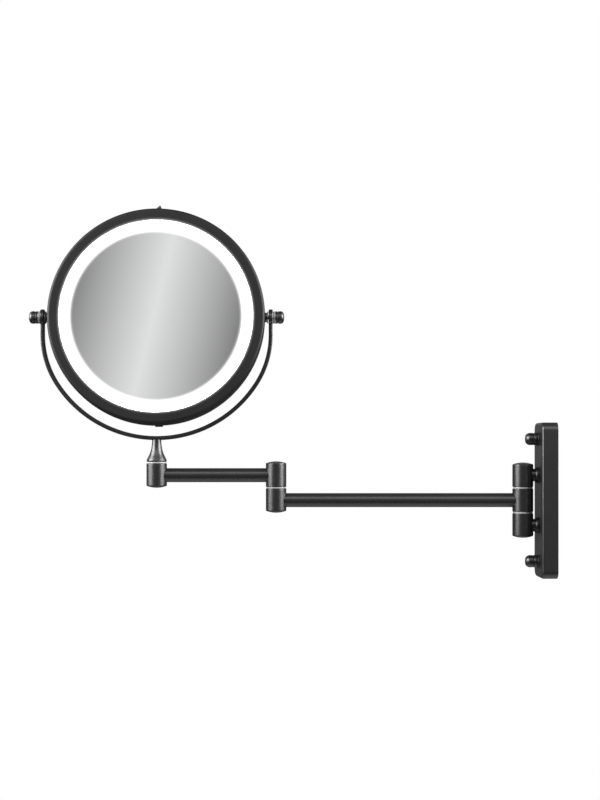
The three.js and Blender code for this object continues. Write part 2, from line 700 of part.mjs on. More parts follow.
function rearRim() {
  const edge = 3;
  const rim = alongY(turned([
    [102.6, COVER_SPLIT - 3],
    [104.8, COVER_SPLIT - 3],
    [104.8, COVER_SPLIT],
    [HEAD_RADIUS, COVER_SPLIT],
    ...rounded(HEAD_RADIUS - 0.8 - edge, HEAD_HALF_DEPTH - edge, edge, 0, 3),
    [OPENING_RADIUS + 0.6, HEAD_HALF_DEPTH],
    [OPENING_RADIUS, HEAD_HALF_DEPTH - 0.6],
    [OPENING_RADIUS, -LIP_BACK],
    [102.6, -LIP_BACK],
    [102.6, COVER_SPLIT - 3],
  ], FINE));
  const fingerLip = block(
    [-1.5, 6.5],
    [COVER_SPLIT + 0.6, COVER_SPLIT + 4],
    [-HEAD_RADIUS - 0.8, -HEAD_RADIUS + 2],
  );
  const bossRoom = block(
    [-SHELL_INNER, SHELL_INNER],
    [COVER_SPLIT - 4, COVER_SPLIT],
    [-BOSS_RADIUS - 0.6, BOSS_RADIUS + 0.6],
  );
  return cut(join(rim, fingerLip), bossRoom);
}

// A shallow dish whose silvered face curves away from the viewer behind
function magnifyingMirror() {
  const steps = 4;
  const face = Array.from({ length: steps + 1 }, (_, i) => {
    const radius = (MAGNIFIER_RADIUS * i) / steps;
    return [radius, MAGNIFIER_CENTRE + radius ** 2 / (2 * MAGNIFIER_CURVATURE)];
  });
  const back = face.map(([radius, depth]) => [radius, depth - MAGNIFIER_THICKNESS]);
  return alongY(turned([...back, ...face.reverse()], FINE));
}

add(head, 'rear_rim', rearRim(), matteBlack);
add(head, 'magnifying_mirror', magnifyingMirror(), silvered);

// ---------------------------------------------------------------- light switch slider

// A fin outside, a stem through the slot and a plate inside, all one moulding
function switchSlider() {
  const depth = 2.6;
  const base = HEAD_RADIUS + 0.3;
  const outline = new THREE.Shape();
  outline.moveTo(-4.6, base);
  outline.lineTo(3.4, base);
  outline.lineTo(1.5, base + FIN_HEIGHT);
  outline.lineTo(0.5, base + FIN_HEIGHT);
  const fin = new THREE.ExtrudeGeometry(outline, { depth, bevelEnabled: false });
  fin.rotateX(Math.PI / 2).translate(0, depth / 2, 0);
  const stem = block([-2.3, 2.3], [-depth / 2, depth / 2], [SLIDER_PLATE_Z + 0.4, base + 0.2]);
  const plate = block([-6.5, 6.5], [-1.5, 1.5], [SLIDER_PLATE_Z, SLIDER_PLATE_Z + 1.2]);
  return join(fin, stem, plate);
}

add(head, 'switch_slider', switchSlider(), satinBlack, [SLIDER_REST_X, SLIDER_DEPTH_Y, 0]);

// ---------------------------------------------------------------- tilt pivots and knobs

function knobCap() {
  const dome = 4.2;
  const cap = turned([
    [0, KNOB_START],
    [KNOB_RADIUS - 0.1, KNOB_START],
    [KNOB_RADIUS - 0.1, KNOB_START + 2.2],
    [KNOB_RADIUS - 0.8, KNOB_START + 2.5],
    [KNOB_RADIUS - 0.8, KNOB_START + 2.9],
    [KNOB_RADIUS, KNOB_START + 3.3],
    ...rounded(KNOB_RADIUS - dome, KNOB_TIP - dome, dome, 0),
    [0, KNOB_TIP],
  ], MEDIUM);
  return cut(cap, rod(STEM_RADIUS + CUT_GAP, KNOB_START - 1, KNOB_TIP - 3.4, SMALL));
}

const eyeOuterFace = YOKE_HALF_WIDTH + BAR_THICKNESS / 2;
for (const [place, turn] of [['left', alongMinusX], ['right', alongX]]) {
  const innerWasher = sleeve(PIVOT_WASHER_RADIUS, BUSH_BORE, BUSH_FACE + 0.15, BUSH_FACE + 1.3);
  const outerWasher = sleeve(PIVOT_WASHER_RADIUS, BUSH_BORE, eyeOuterFace + 0.2, KNOB_START - 0.2);
  const stem = rod(STEM_RADIUS, BUSH_INNER_END + 1.5, KNOB_TIP - 3.8, SMALL);
  add(head, `pivot_bush_${place}`, turn(pivotBush()), satinBlack);
  add(head, `inner_washer_${place}`, turn(innerWasher), nylon);
  add(assembly, `outer_washer_${place}`, turn(outerWasher), nylon, [NECK_X, 0, PIVOT_Z]);
  add(head, `knob_stem_${place}`, turn(stem), steel);
  add(head, `knob_cap_${place}`, turn(knobCap()), satinBlack);
}

export default assembly;
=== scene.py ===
import json
from math import atan2, cos, exp, pi, radians, sin, sqrt, tan

import bmesh
import bpy
from mathutils import Matrix, Vector


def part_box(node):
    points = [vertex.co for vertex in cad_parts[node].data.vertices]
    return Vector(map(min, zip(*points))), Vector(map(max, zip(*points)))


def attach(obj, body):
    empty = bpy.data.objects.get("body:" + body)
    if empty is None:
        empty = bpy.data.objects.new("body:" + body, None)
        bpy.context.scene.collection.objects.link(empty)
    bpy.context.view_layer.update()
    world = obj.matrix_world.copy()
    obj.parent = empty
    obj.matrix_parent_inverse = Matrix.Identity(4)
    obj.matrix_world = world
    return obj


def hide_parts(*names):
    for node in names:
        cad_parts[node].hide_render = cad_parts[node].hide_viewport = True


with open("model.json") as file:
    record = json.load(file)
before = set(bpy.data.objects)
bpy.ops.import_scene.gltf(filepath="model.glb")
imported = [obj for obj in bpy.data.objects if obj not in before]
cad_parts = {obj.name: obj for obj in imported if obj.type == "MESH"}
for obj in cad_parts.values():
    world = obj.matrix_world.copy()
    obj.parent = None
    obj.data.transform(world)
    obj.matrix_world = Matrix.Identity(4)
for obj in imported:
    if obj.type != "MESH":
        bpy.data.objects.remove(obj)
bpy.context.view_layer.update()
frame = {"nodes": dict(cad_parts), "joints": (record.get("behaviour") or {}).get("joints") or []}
scene = bpy.context.scene

# ------------------------------------------------------------------ places, from the frame

MM = 0.001
JOINTS = {joint["name"]: joint for joint in frame["joints"]}
WALL_HINGE = Vector(JOINTS["wall_swing"]["pos_m"])
ELBOW = Vector(JOINTS["elbow_swing"]["pos_m"])
NECK = Vector(JOINTS["neck_swivel"]["pos_m"])
PIVOT = Vector(JOINTS["head_tilt"]["pos_m"])
PULL = Vector(JOINTS["rear_cover_pull"]["axis"])
HEAD_LEAN = atan2(-PULL.z, PULL.y)

# A shape is made about its own Z axis and then laid along the axis it belongs to
ALONG_X = Matrix.Rotation(pi / 2, 4, "Y")
ALONG_MINUS_X = Matrix.Rotation(-pi / 2, 4, "Y")
ALONG_Y = Matrix.Rotation(-pi / 2, 4, "X")
UPSIDE_DOWN = Matrix.Rotation(pi, 4, "X")
HEAD = Matrix.Translation(PIVOT) @ Matrix.Rotation(-HEAD_LEAN, 4, "X")
HEAD_FACE = HEAD @ ALONG_Y


def middle(node):
    low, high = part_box(node)
    return (low + high) / 2


def extent(node):
    low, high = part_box(node)
    return high - low


# ------------------------------------------------------------------ outlines and shapes


# Each end of a straight run next to a rounded corner gets a point this far in, so the run shades flat
HOLD = 0.15


def rounded_outline(corners, closed=False, steps=5):
    """Points of an outline from (across, up, corner radius) entries."""
    arcs = []
    count = len(corners)
    for i, (across, up, radius) in enumerate(corners):
        here = Vector((across, up))
        if radius == 0 or (not closed and i in (0, count - 1)):
            arcs.append([here])
            continue
        back = (Vector(corners[i - 1][:2]) - here).normalized()
        ahead = (Vector(corners[(i + 1) % count][:2]) - here).normalized()
        half = back.angle(ahead) / 2
        centre = here + (back + ahead).normalized() * radius / sin(half)
        start = here + back * radius / tan(half) - centre
        end = here + ahead * radius / tan(half) - centre
        first = atan2(start.y, start.x)
        sweep = atan2(end.y, end.x) - first
        sweep -= 2 * pi * round(sweep / (2 * pi))
        angles = [first + sweep * step / steps for step in range(steps + 1)]
        arcs.append([centre + Vector((cos(angle), sin(angle))) * radius for angle in angles])
    points = []
    for i, arc in enumerate(arcs):
        points += arc
        following = arcs[(i + 1) % count]
        run = following[0] - arc[-1]
        last = i == count - 1 and not closed
        if not last and run.length > 4 * HOLD and len(arc) + len(following) > 2:
            points += [arc[-1] + run.normalized() * HOLD, following[0] - run.normalized() * HOLD]
    return points


def turned(corners, closed=False, around=96, steps=5):
    """A shape turned about Z from an outline of (radius, height, corner radius)."""
    outline = rounded_outline(corners, closed, steps)
    bm = bmesh.new()
    verts = [bm.verts.new((point.x * MM, 0, point.y * MM)) for point in outline]
    if closed:
        verts.append(verts[0])
    edges = [bm.edges.new(pair) for pair in zip(verts, verts[1:])]
    bmesh.ops.spin(
        bm, geom=list(bm.verts) + edges, cent=(0, 0, 0), axis=(0, 0, 1),
        angle=2 * pi, steps=around, use_merge=True,
    )
    bmesh.ops.remove_doubles(bm, verts=bm.verts, dist=1e-6)
    bmesh.ops.recalc_face_normals(bm, faces=bm.faces)
    return bm


def box_shape(size, centre=(0, 0, 0), rounding=0, segments=3):
    """A block in millimetres with all its edges rounded."""
    bm = bmesh.new()
    bmesh.ops.create_cube(bm, size=1)
    bmesh.ops.scale(bm, vec=Vector(size) * MM, verts=bm.verts)
    if rounding:
        soften(bm, bm.edges, rounding, segments)
    bmesh.ops.translate(bm, vec=Vector(centre) * MM, verts=bm.verts)
    return bm


def soften(bm, edges, radius, segments=3):
    bmesh.ops.bevel(
        bm, geom=list(edges), offset=radius * MM, segments=segments, affect="EDGES",
        profile=0.5, material=-1, clamp_overlap=True,
    )


def moved(bm, matrix):
    bmesh.ops.transform(bm, matrix=matrix, verts=bm.verts)
    return bm


def merged(*shapes):
    """Several shapes as the one mesh of a piece."""
    whole = bmesh.new()
    for shape in shapes:
        part = bpy.data.meshes.new("part")
        shape.to_mesh(part)
        shape.free()
        whole.from_mesh(part)
        bpy.data.meshes.remove(part)
    return whole


def piece(name, bm, body, finish, stands_for=(), place=None, crease=35):
    """Makes the finished object of a shape and lets it ride on its body."""
    if place is not None:
        moved(bm, place)
    mesh = bpy.data.meshes.new(name)
    bm.to_mesh(mesh)
    bm.free()
    made = bpy.data.objects.new(name, mesh)
    scene.collection.objects.link(made)
    mesh.materials.append(finish[0])
    mesh.shade_smooth()
    mesh.set_sharp_from_angle(angle=radians(crease))
    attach(made, body)
    if stands_for:
        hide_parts(*stands_for)
    return made


# ------------------------------------------------------------------ material building blocks

# Radii of the glass and of the bezel's opening, in millimetres from the head's axis
GLASS_RADIUS = 86
OPENING = 96.6

BLACK_LOW = (0.0026, 0.0026, 0.0028)
BLACK_HIGH = (0.0038, 0.0038, 0.0040)
FROST_INNER = GLASS_RADIUS - 4.2
FROST_OUTER = GLASS_RADIUS - 0.2
# Painted glow on the bezel's inner lip: how far it reaches from the opening, in millimetres, and how
# strong it is
LIT_LIP = 3
LIP_PAINTED_GLOW = 0.28
# Painted shade at the light ring's outer edge, under the bezel's opening: the radii between which its
# light dims
RING_SHADE_START = OPENING - 2.1
RING_SHADE_END = OPENING + 0.2
GLOW_CURVE = 2.4


def start_material(name):
    material = bpy.data.materials.new(name)
    material.use_nodes = True
    nodes = material.node_tree.nodes
    shader = nodes["Principled BSDF"]
    place = nodes.new("ShaderNodeTexCoord")
    return material, nodes, material.node_tree.links, shader, place.outputs["Object"]


def noise(nodes, links, place, size_mm, detail=3.0):
    """Cloudy variation with features about size_mm across."""
    texture = nodes.new("ShaderNodeTexNoise")
    texture.inputs["Scale"].default_value = 1 / (size_mm * MM)
    texture.inputs["Detail"].default_value = detail
    links.new(place, texture.inputs["Vector"])
    return texture.outputs["Fac"]


def between(nodes, links, factor, low, high, start=0.3, end=0.7):
    """Maps a factor to a range of values or to a range of colours."""
    if isinstance(low, tuple):
        ramp = nodes.new("ShaderNodeValToRGB")
        ramp.color_ramp.elements[0].position = start
        ramp.color_ramp.elements[0].color = (*low, 1)
        ramp.color_ramp.elements[1].position = end
        ramp.color_ramp.elements[1].color = (*high, 1)
        links.new(factor, ramp.inputs["Fac"])
        return ramp.outputs["Color"]
    spread = nodes.new("ShaderNodeMapRange")
    spread.inputs["From Min"].default_value = start
    spread.inputs["From Max"].default_value = end
    spread.inputs["To Min"].default_value = low
    spread.inputs["To Max"].default_value = high
    links.new(factor, spread.inputs["Value"])
    return spread.outputs["Result"]


def relief(nodes, links, shader, height, depth_mm, strength=1.0):
    bump = nodes.new("ShaderNodeBump")
    bump.inputs["Distance"].default_value = depth_mm * MM
    bump.inputs["Strength"].default_value = strength
    links.new(height, bump.inputs["Height"])
    links.new(bump.outputs["Normal"], shader.inputs["Normal"])


def satin_black():
    """Black powder coat on steel: a fine, even orange peel with a soft sheen."""
    material, nodes, links, shader, place = start_material("satin_black")
    peel = noise(nodes, links, place, 0.6, 2)
    cloud = noise(nodes, links, place, 28, 4)
    tone = between(nodes, links, cloud, BLACK_LOW, BLACK_HIGH)
    links.new(tone, shader.inputs["Base Color"])
    links.new(between(nodes, links, peel, 0.335, 0.355), shader.inputs["Roughness"])
    shader.inputs["Specular IOR Level"].default_value = 0.4
    relief(nodes, links, shader, peel, 0.003, 0.2)
    return material, "satin_black_metal"


def matte_black(name, grain_mm=0.5):
    """Black moulding with a spark-eroded grain."""
    material, nodes, links, shader, place = start_material(name)
    grain = noise(nodes, links, place, grain_mm, 2)
    cloud = noise(nodes, links, place, 40, 3)
    tone = between(nodes, links, cloud, BLACK_LOW, BLACK_HIGH)
    links.new(tone, shader.inputs["Base Color"])
    links.new(between(nodes, links, grain, 0.45, 0.53), shader.inputs["Roughness"])
    shader.inputs["Specular IOR Level"].default_value = 0.13
    relief(nodes, links, shader, grain, 0.01, 0.2)
    return material, "matte_black_plastic"


def nylon():
    """Milky, slightly see-through washers."""
    material, nodes, links, shader, place = start_material("nylon")
    cloud = noise(nodes, links, place, 4, 2)
    tone = between(nodes, links, cloud, (0.13, 0.13, 0.128), (0.17, 0.17, 0.168))
    links.new(tone, shader.inputs["Base Color"])
    links.new(between(nodes, links, cloud, 0.38, 0.5), shader.inputs["Roughness"])
    shader.inputs["Subsurface Weight"].default_value = 0.25
    shader.inputs["Subsurface Radius"].default_value = (0.002, 0.002, 0.002)
    relief(nodes, links, shader, noise(nodes, links, place, 0.4, 2), 0.01, 0.3)
    return material, "nylon"


def metal(name, slot, low, high, roughness=0.3, grain_mm=0.6):
    """Bare metal with faint tarnish clouds and a fine finish."""
    material, nodes, links, shader, place = start_material(name)
    cloud = noise(nodes, links, place, 7, 4)
    grain = noise(nodes, links, place, grain_mm, 3)
    links.new(between(nodes, links, cloud, low, high), shader.inputs["Base Color"])
    polish = between(nodes, links, grain, roughness - 0.07, roughness + 0.08)
    links.new(polish, shader.inputs["Roughness"])
    shader.inputs["Metallic"].default_value = 1
    relief(nodes, links, shader, grain, 0.01, 0.3)
    return material, slot


def from_head_axis(nodes, links, place):
    """Distance in metres from the head's own axis, through the middle of its face."""
    straight = nodes.new("ShaderNodeMapping")
    straight.vector_type = "TEXTURE"
    straight.inputs["Location"].default_value = PIVOT
    straight.inputs["Rotation"].default_value = (-HEAD_LEAN, 0, 0)
    flat = nodes.new("ShaderNodeVectorMath")
    flat.operation = "MULTIPLY"
    flat.inputs[1].default_value = (1, 0, 1)
    length = nodes.new("ShaderNodeVectorMath")
    length.operation = "LENGTH"
    links.new(place, straight.inputs["Vector"])
    links.new(straight.outputs["Vector"], flat.inputs[0])
    links.new(flat.outputs["Vector"], length.inputs[0])
    return length.outputs["Value"]


def silvered_glass(name):
    """Silvered glass: a clean mirror with the faintest unevenness in its tint."""
    material, nodes, links, shader, place = start_material(name)
    cloud = noise(nodes, links, place, 60, 2)
    tint = between(nodes, links, cloud, (0.925, 0.93, 0.93), (0.94, 0.945, 0.945))
    links.new(tint, shader.inputs["Base Color"])
    shader.inputs["Metallic"].default_value = 1
    shader.inputs["Roughness"].default_value = 0.015
    return material, "mirror_glass"


def glowing(nodes, links, shader, spread, strength):
    """White light that grows softly as the spread goes from 0 to 1."""
    soft = nodes.new("ShaderNodeMath")
    soft.operation = "POWER"
    soft.inputs[1].default_value = GLOW_CURVE
    links.new(spread, soft.inputs[0])
    glow = nodes.new("ShaderNodeMath")
    glow.operation = "MULTIPLY"
    glow.inputs[1].default_value = strength
    links.new(soft.outputs[0], glow.inputs[0])
    shader.inputs["Emission Color"].default_value = (1, 1, 1, 1)
    links.new(glow.outputs[0], shader.inputs["Emission Strength"])


def front_glass():
    """The front mirror, whose frosted rim lets a little of the ring's light through."""
    material, slot = silvered_glass("front_glass")
    nodes = material.node_tree.nodes
    links = material.node_tree.links
    shader = nodes["Principled BSDF"]
    place = nodes["Texture Coordinate"].outputs["Object"]
    radius = from_head_axis(nodes, links, place)
    spread = between(nodes, links, radius, 0.0, 1.0, FROST_INNER * MM, FROST_OUTER * MM)
    glowing(nodes, links, shader, spread, 1)
    return material, slot


def bezel_painted_glow():
    """The bezel's moulding, with a painted glow on its inner lip that stands in for the ring's light
    falling on it.
    """
    material, slot = matte_black("bezel_black_painted_glow")
    nodes = material.node_tree.nodes
    links = material.node_tree.links
    place = nodes["Texture Coordinate"].outputs["Object"]
    radius = from_head_axis(nodes, links, place)
    # Painted glow: the inner lip emits light that fades out over LIT_LIP millimetres from the opening
    spread = between(nodes, links, radius, 1.0, 0.0, OPENING * MM, (OPENING + LIT_LIP) * MM)
    glowing(nodes, links, nodes["Principled BSDF"], spread, LIP_PAINTED_GLOW)
    return material, slot


def opal_light():
    """The frosted ring, lit from behind: faintly cloudy, with painted shade that dims its light towards
    its outer edge at the bezel's opening.
    """
    material, nodes, links, shader, place = start_material("opal_light")
    cloud = noise(nodes, links, place, 9, 2)
    frost = noise(nodes, links, place, 0.5, 2)
    links.new(between(nodes, links, frost, 0.4, 0.55), shader.inputs["Roughness"])
    shader.inputs["Base Color"].default_value = (0.93, 0.93, 0.93, 1)
    shader.inputs["Emission Color"].default_value = (1, 1, 1, 1)
    even = between(nodes, links, cloud, 1.25, 1.4)
    radius = from_head_axis(nodes, links, place)
    # Painted shade: the ring's light dims towards its outer edge, where it runs under the bezel's opening
    painted_edge_shade = between(nodes, links, radius, 1.0, 0.45, RING_SHADE_START * MM, RING_SHADE_END * MM)
    light = nodes.new("ShaderNodeMath")
    light.operation = "MULTIPLY"
    links.new(even, light.inputs[0])
    links.new(painted_edge_shade, light.inputs[1])
    links.new(light.outputs[0], shader.inputs["Emission Strength"])
    return material, "opal_light"


def plastic(name, slot, low, high, roughness=0.45, size_mm=3):
    """A coloured plastic, sleeve or lacquer with slight variation."""
    material, nodes, links, shader, place = start_material(name)
    cloud = noise(nodes, links, place, size_mm, 3)
    links.new(between(nodes, links, cloud, low, high), shader.inputs["Base Color"])
    polish = between(nodes, links, cloud, roughness - 0.06, roughness + 0.06)
    links.new(polish, shader.inputs["Roughness"])
    relief(nodes, links, shader, noise(nodes, links, place, 0.5, 2), 0.01, 0.25)
    return material, slot


SATIN = satin_black()
MATTE = matte_black("matte_black")
BEZEL = bezel_painted_glow()
INNER_MATTE = matte_black("inner_black", 1.2)
NYLON = nylon()
STEEL = metal("zinc_steel", "steel", (0.52, 0.53, 0.54), (0.66, 0.67, 0.68))
SMOKED = plastic("smoked_plastic", "nylon", (0.07, 0.07, 0.07), (0.11, 0.11, 0.11), 0.3, 4)
BRASS = metal("turned_brass", "brass", (0.62, 0.45, 0.19), (0.74, 0.56, 0.28), 0.28)
FRONT_GLASS = front_glass()
REAR_GLASS = silvered_glass("rear_glass")
OPAL = opal_light()
WHITE_BOARD = plastic("white_board", "white_board", (0.78, 0.78, 0.75), (0.86, 0.86, 0.83))
GREEN_BOARD = plastic("green_board", "green_board", (0.02, 0.11, 0.045), (0.035, 0.16, 0.07), 0.35)
CELL_SLEEVE = plastic("cell_sleeve", "cell_sleeve", (0.035, 0.12, 0.27), (0.055, 0.17, 0.36), 0.25, 8)
RED_WIRE = plastic("red_wire", "red_wire", (0.38, 0.02, 0.015), (0.47, 0.035, 0.02), 0.4)
BLACK_WIRE = plastic("black_wire", "black_wire", (0.009, 0.009, 0.01), (0.014, 0.014, 0.015), 0.4)

# ------------------------------------------------------------------ wall bracket

PLATE_EDGE = 2.4
PLATE_CORNER = 8
PLATE_RIM = 0.8
COVER_SHEET = 1.8
TOUCHING = 0.01
POST_STOP = 6


def wall_plate():
    """A rounded cover: four corners bent, then the front edge, then the sheet's thickness and back rim."""
    low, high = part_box("wall_plate_cover")
    bm = bmesh.new()
    bmesh.ops.create_cube(bm, size=1)
    bmesh.ops.scale(bm, vec=high - low, verts=bm.verts)
    bmesh.ops.translate(bm, vec=(low + high) / 2, verts=bm.verts)
    corners = [e for e in bm.edges if abs(e.verts[0].co.x - e.verts[1].co.x) > MM]
    soften(bm, corners, PLATE_CORNER, 10)
    back = [f for f in bm.faces if f.calc_center_median().x > high.x - TOUCHING * MM]
    bmesh.ops.delete(bm, geom=back, context="FACES_ONLY")
    front = [e for e in bm.edges if all(v.co.x < low.x + TOUCHING * MM for v in e.verts)]
    soften(bm, front, PLATE_EDGE, 6)
    flats = sorted(bm.faces, key=lambda face: face.calc_area())[-5:]
    bmesh.ops.inset_individual(bm, faces=flats, thickness=2 * HOLD * MM, use_even_offset=True)
    bmesh.ops.recalc_face_normals(bm, faces=bm.faces)
    made = piece("wall_cover", bm, "wall_bracket", SATIN, ["wall_plate_cover"], crease=50)
    shell = made.modifiers.new("sheet", "SOLIDIFY")
    shell.thickness = COVER_SHEET * MM
    shell.offset = -1
    shell.use_even_offset = True
    rim = made.modifiers.new("back_rim", "BEVEL")
    rim.width = PLATE_RIM * MM
    rim.segments = 4
    rim.limit_method = "ANGLE"
    rim.angle_limit = radians(60)
    rim.harden_normals = True


def cap_nut():
    """Domed nut from its seat outward: collar, groove and dome."""
    return turned([
        (3.2, 0, 0), (6.0, 0, 0), (6.3, 0.35, 0.25), (6.3, 3.2, 0.35), (5.75, 3.5, 0.15),
        (5.75, 4.1, 0.15), (6.1, 4.4, 0.3), (6.1, 8.6, 2.5), (4.3, 11.5, 2.6), (0, 12.1, 0),
    ], around=80)


def fix_to_wall_plate():
    for place in ("upper", "lower"):
        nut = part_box(f"cap_nut_{place}")
        seat = Vector((nut[1].x, 0, middle(f"cap_nut_{place}").z))
        there = Matrix.Translation(seat) @ ALONG_MINUS_X
        piece(f"domed_nut_{place}", cap_nut(), "wall_bracket", SATIN, [f"cap_nut_{place}"], there)
        ring = turned(
            [(2.8, 0, 0.1), (6.8, 0, 0.25), (6.8, 0.86, 0.3), (2.8, 0.86, 0.1)], closed=True, around=80,
        )
        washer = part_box(f"cap_washer_{place}")
        there = Matrix.Translation((washer[1].x, 0, seat.z)) @ ALONG_MINUS_X
        piece(f"nut_washer_{place}", ring, "wall_bracket", SATIN, [f"cap_washer_{place}"], there)


def hinge_posts():
    """Collared posts that run from the plate into the hinge barrels."""
    for place in ("upper", "lower"):
        low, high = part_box(f"hinge_post_{place}")
        reach = (high.x - WALL_HINGE.x) / MM - POST_STOP
        post = turned([
            (0, 0, 0), (8, 0, 0.3), (8, 2.4, 0.6), (7.5, 3.0, 0.4), (6.4, 3.3, 0.6),
            (6.4, reach, 0), (0, reach, 0),
        ], around=80)
        there = Matrix.Translation((high.x, 0, (low.z + high.z) / 2)) @ ALONG_MINUS_X
        piece(f"post_{place}", post, "wall_bracket", SATIN, [f"hinge_post_{place}"], there)


# ------------------------------------------------------------------ hinge barrels and arms


BARREL_BORE = 4.3
BARREL_LIP = 0.45
PIN_POCKET = 6
CROWN = 1.9
CROWN_STEPS = 8
TUBE_STOP = 6


def end_barrel(radius, length):
    """A barrel from its flat end downward: a crisp lip, and a gently domed free end."""
    crown = []
    for step in range(CROWN_STEPS - 1, -1, -1):
        share = step / CROWN_STEPS
        crown.append((radius * share, CROWN * share ** 2 - length, 0))
    return turned([
        (BARREL_BORE, -PIN_POCKET, 0), (BARREL_BORE, 0, 0.2), (radius, 0, BARREL_LIP),
        (radius, CROWN - length, 1.1), *crown,
    ])


def free_barrel(name, node, body, axis, turn=None):
    """A barrel with one free end, which points down unless the barrel is turned over."""
    low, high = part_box(node)
    shape = end_barrel((high.x - low.x) / 2 / MM, (high.z - low.z) / MM)
    there = Matrix.Translation((axis.x, 0, low.z if turn else high.z))
    piece(name, shape, body, SATIN, [node], there @ turn if turn else there)


def middle_barrel():
    """The long arm's open barrel between the two fixed ones."""
    half = extent("long_arm_wall_barrel").z / 2 / MM
    radius = extent("long_arm_wall_barrel").x / 2 / MM
    sleeve = turned([
        (BARREL_BORE, -half, 0.2), (radius, -half, BARREL_LIP), (radius, half, BARREL_LIP),
        (BARREL_BORE, half, 0.2),
    ], closed=True)
    there = Matrix.Translation((WALL_HINGE.x, 0, 0))
    piece("long_arm_hinge_barrel", sleeve, "long_arm", SATIN, ["long_arm_wall_barrel"], there)


def barrels():
    free_barrel("bracket_barrel_below", "bracket_barrel_lower", "wall_bracket", WALL_HINGE)
    free_barrel("bracket_barrel_above", "bracket_barrel_upper", "wall_bracket", WALL_HINGE, UPSIDE_DOWN)
    middle_barrel()
    free_barrel("elbow_barrel_below", "long_arm_elbow_barrel", "long_arm", ELBOW)
    free_barrel("elbow_barrel_above", "short_arm_elbow_barrel", "short_arm", ELBOW, UPSIDE_DOWN)
    free_barrel("neck_barrel_below", "neck_barrel", "short_arm", NECK)


def arm_tubes():
    """Round tubes let into the barrels, stopping short of the pins."""
    for name, node, body, start, end in (
        ("long_arm_tube", "long_tube", "long_arm", ELBOW.x, WALL_HINGE.x),
        ("short_arm_tube", "short_tube", "short_arm", NECK.x, ELBOW.x),
    ):
        radius = extent(node).z / 2 / MM
        length = (end - start) / MM - 2 * TUBE_STOP
        tube = turned([(0, 0, 0), (radius, 0, 0), (radius, length, 0), (0, length, 0)])
        there = Matrix.Translation((start + TUBE_STOP * MM, 0, middle(node).z)) @ ALONG_X
        piece(name, tube, body, SATIN, [node], there)


def hinge_washers():
    for node, body, axis in (
        ("wall_washer_upper", "long_arm", WALL_HINGE),
        ("wall_washer_lower", "long_arm", WALL_HINGE),
        ("elbow_washer", "long_arm", ELBOW),
        ("neck_washer", "short_arm", NECK),
    ):
        low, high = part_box(node)
        thick = (high.z - low.z) / MM
        radius = (high.x - low.x) / 2 / MM
        ring = turned([
            (4.4, 0, 0.15), (radius, 0, 0.3), (radius, thick, 0.3), (4.4, thick, 0.15),
        ], closed=True)
        piece(f"{node}_ring", ring, body, NYLON, [node], Matrix.Translation((axis.x, 0, low.z)))


# ------------------------------------------------------------------ yoke

BAR_THICK = 4.1
BAR_WIDE = 7.4
BAR_CORNER = 1.1
MAIN_ARC = 118.5
SIDE_ARC = 90
EYE_RADIUS = 8.1
EYE_BORE = 2.6
SIDE_START = -4.5
STEM_RADIUS = 4.4
FOOT_FLARE = 6.1
FLARE_RATE = 0.037
FLARE_STEPS = 30
FOOT_TOP = 1.2


def yoke_neck():
    """Flared foot and slim stem in one smooth sweep."""
    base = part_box("yoke_neck")[0].z
    stem_top = (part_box("yoke_bar")[0].z - base) / MM + 0.6
    flare = []
    for step in range(1, FLARE_STEPS + 1):
        up = FOOT_TOP + (stem_top - FOOT_TOP) * (step / FLARE_STEPS) ** 1.3
        flare.append((STEM_RADIUS + FOOT_FLARE * exp(-FLARE_RATE * up ** 1.5), up, 0))
    neck = turned([
        (BARREL_BORE, PIN_POCKET, 0), (BARREL_BORE, 0, 0.2), (9.6, 0, 0.35), (10.22, FOOT_TOP, 0.5),
        *flare, (0, stem_top, 0),
    ])
    piece("neck", neck, "yoke", SATIN, ["yoke_neck"], Matrix.Translation((NECK.x, 0, base)))


def open_section(thick, wide, corner):
    """The flat bar's cross-section as an open loop of edges, level at the origin."""
    bm = bmesh.new()
    bmesh.ops.create_grid(bm, x_segments=1, y_segments=1, size=0.5)
    bmesh.ops.scale(bm, vec=(thick * MM, wide * MM, 1), verts=bm.verts)
    bmesh.ops.bevel(
        bm, geom=bm.verts[:], offset=corner * MM, segments=5, affect="VERTICES", profile=0.5, material=-1,
    )
    bmesh.ops.delete(bm, geom=bm.faces[:], context="FACES_ONLY")
    return bm


def open_edges(made):
    return [item for item in made if isinstance(item, bmesh.types.BMEdge)]


def bend(bm, edges, centre, angle, steps):
    """Carries the open end of the bar round an arc in the yoke's plane."""
    verts = list({vert for edge in edges for vert in edge.verts})
    made = bmesh.ops.spin(
        bm, geom=verts + edges, cent=centre, axis=(0, -1, 0), angle=angle, steps=steps, use_merge=False,
    )
    return open_edges(made["geom_last"])


def draw_out(bm, edges, step):
    """Carries the open end straight on."""
    made = bmesh.ops.extrude_edge_only(bm, edges=edges)["geom"]
    verts = [item for item in made if isinstance(item, bmesh.types.BMVert)]
    bmesh.ops.translate(bm, vec=step, verts=verts)
    return [edge for edge in open_edges(made) if edge.verts[0] in verts and edge.verts[1] in verts]


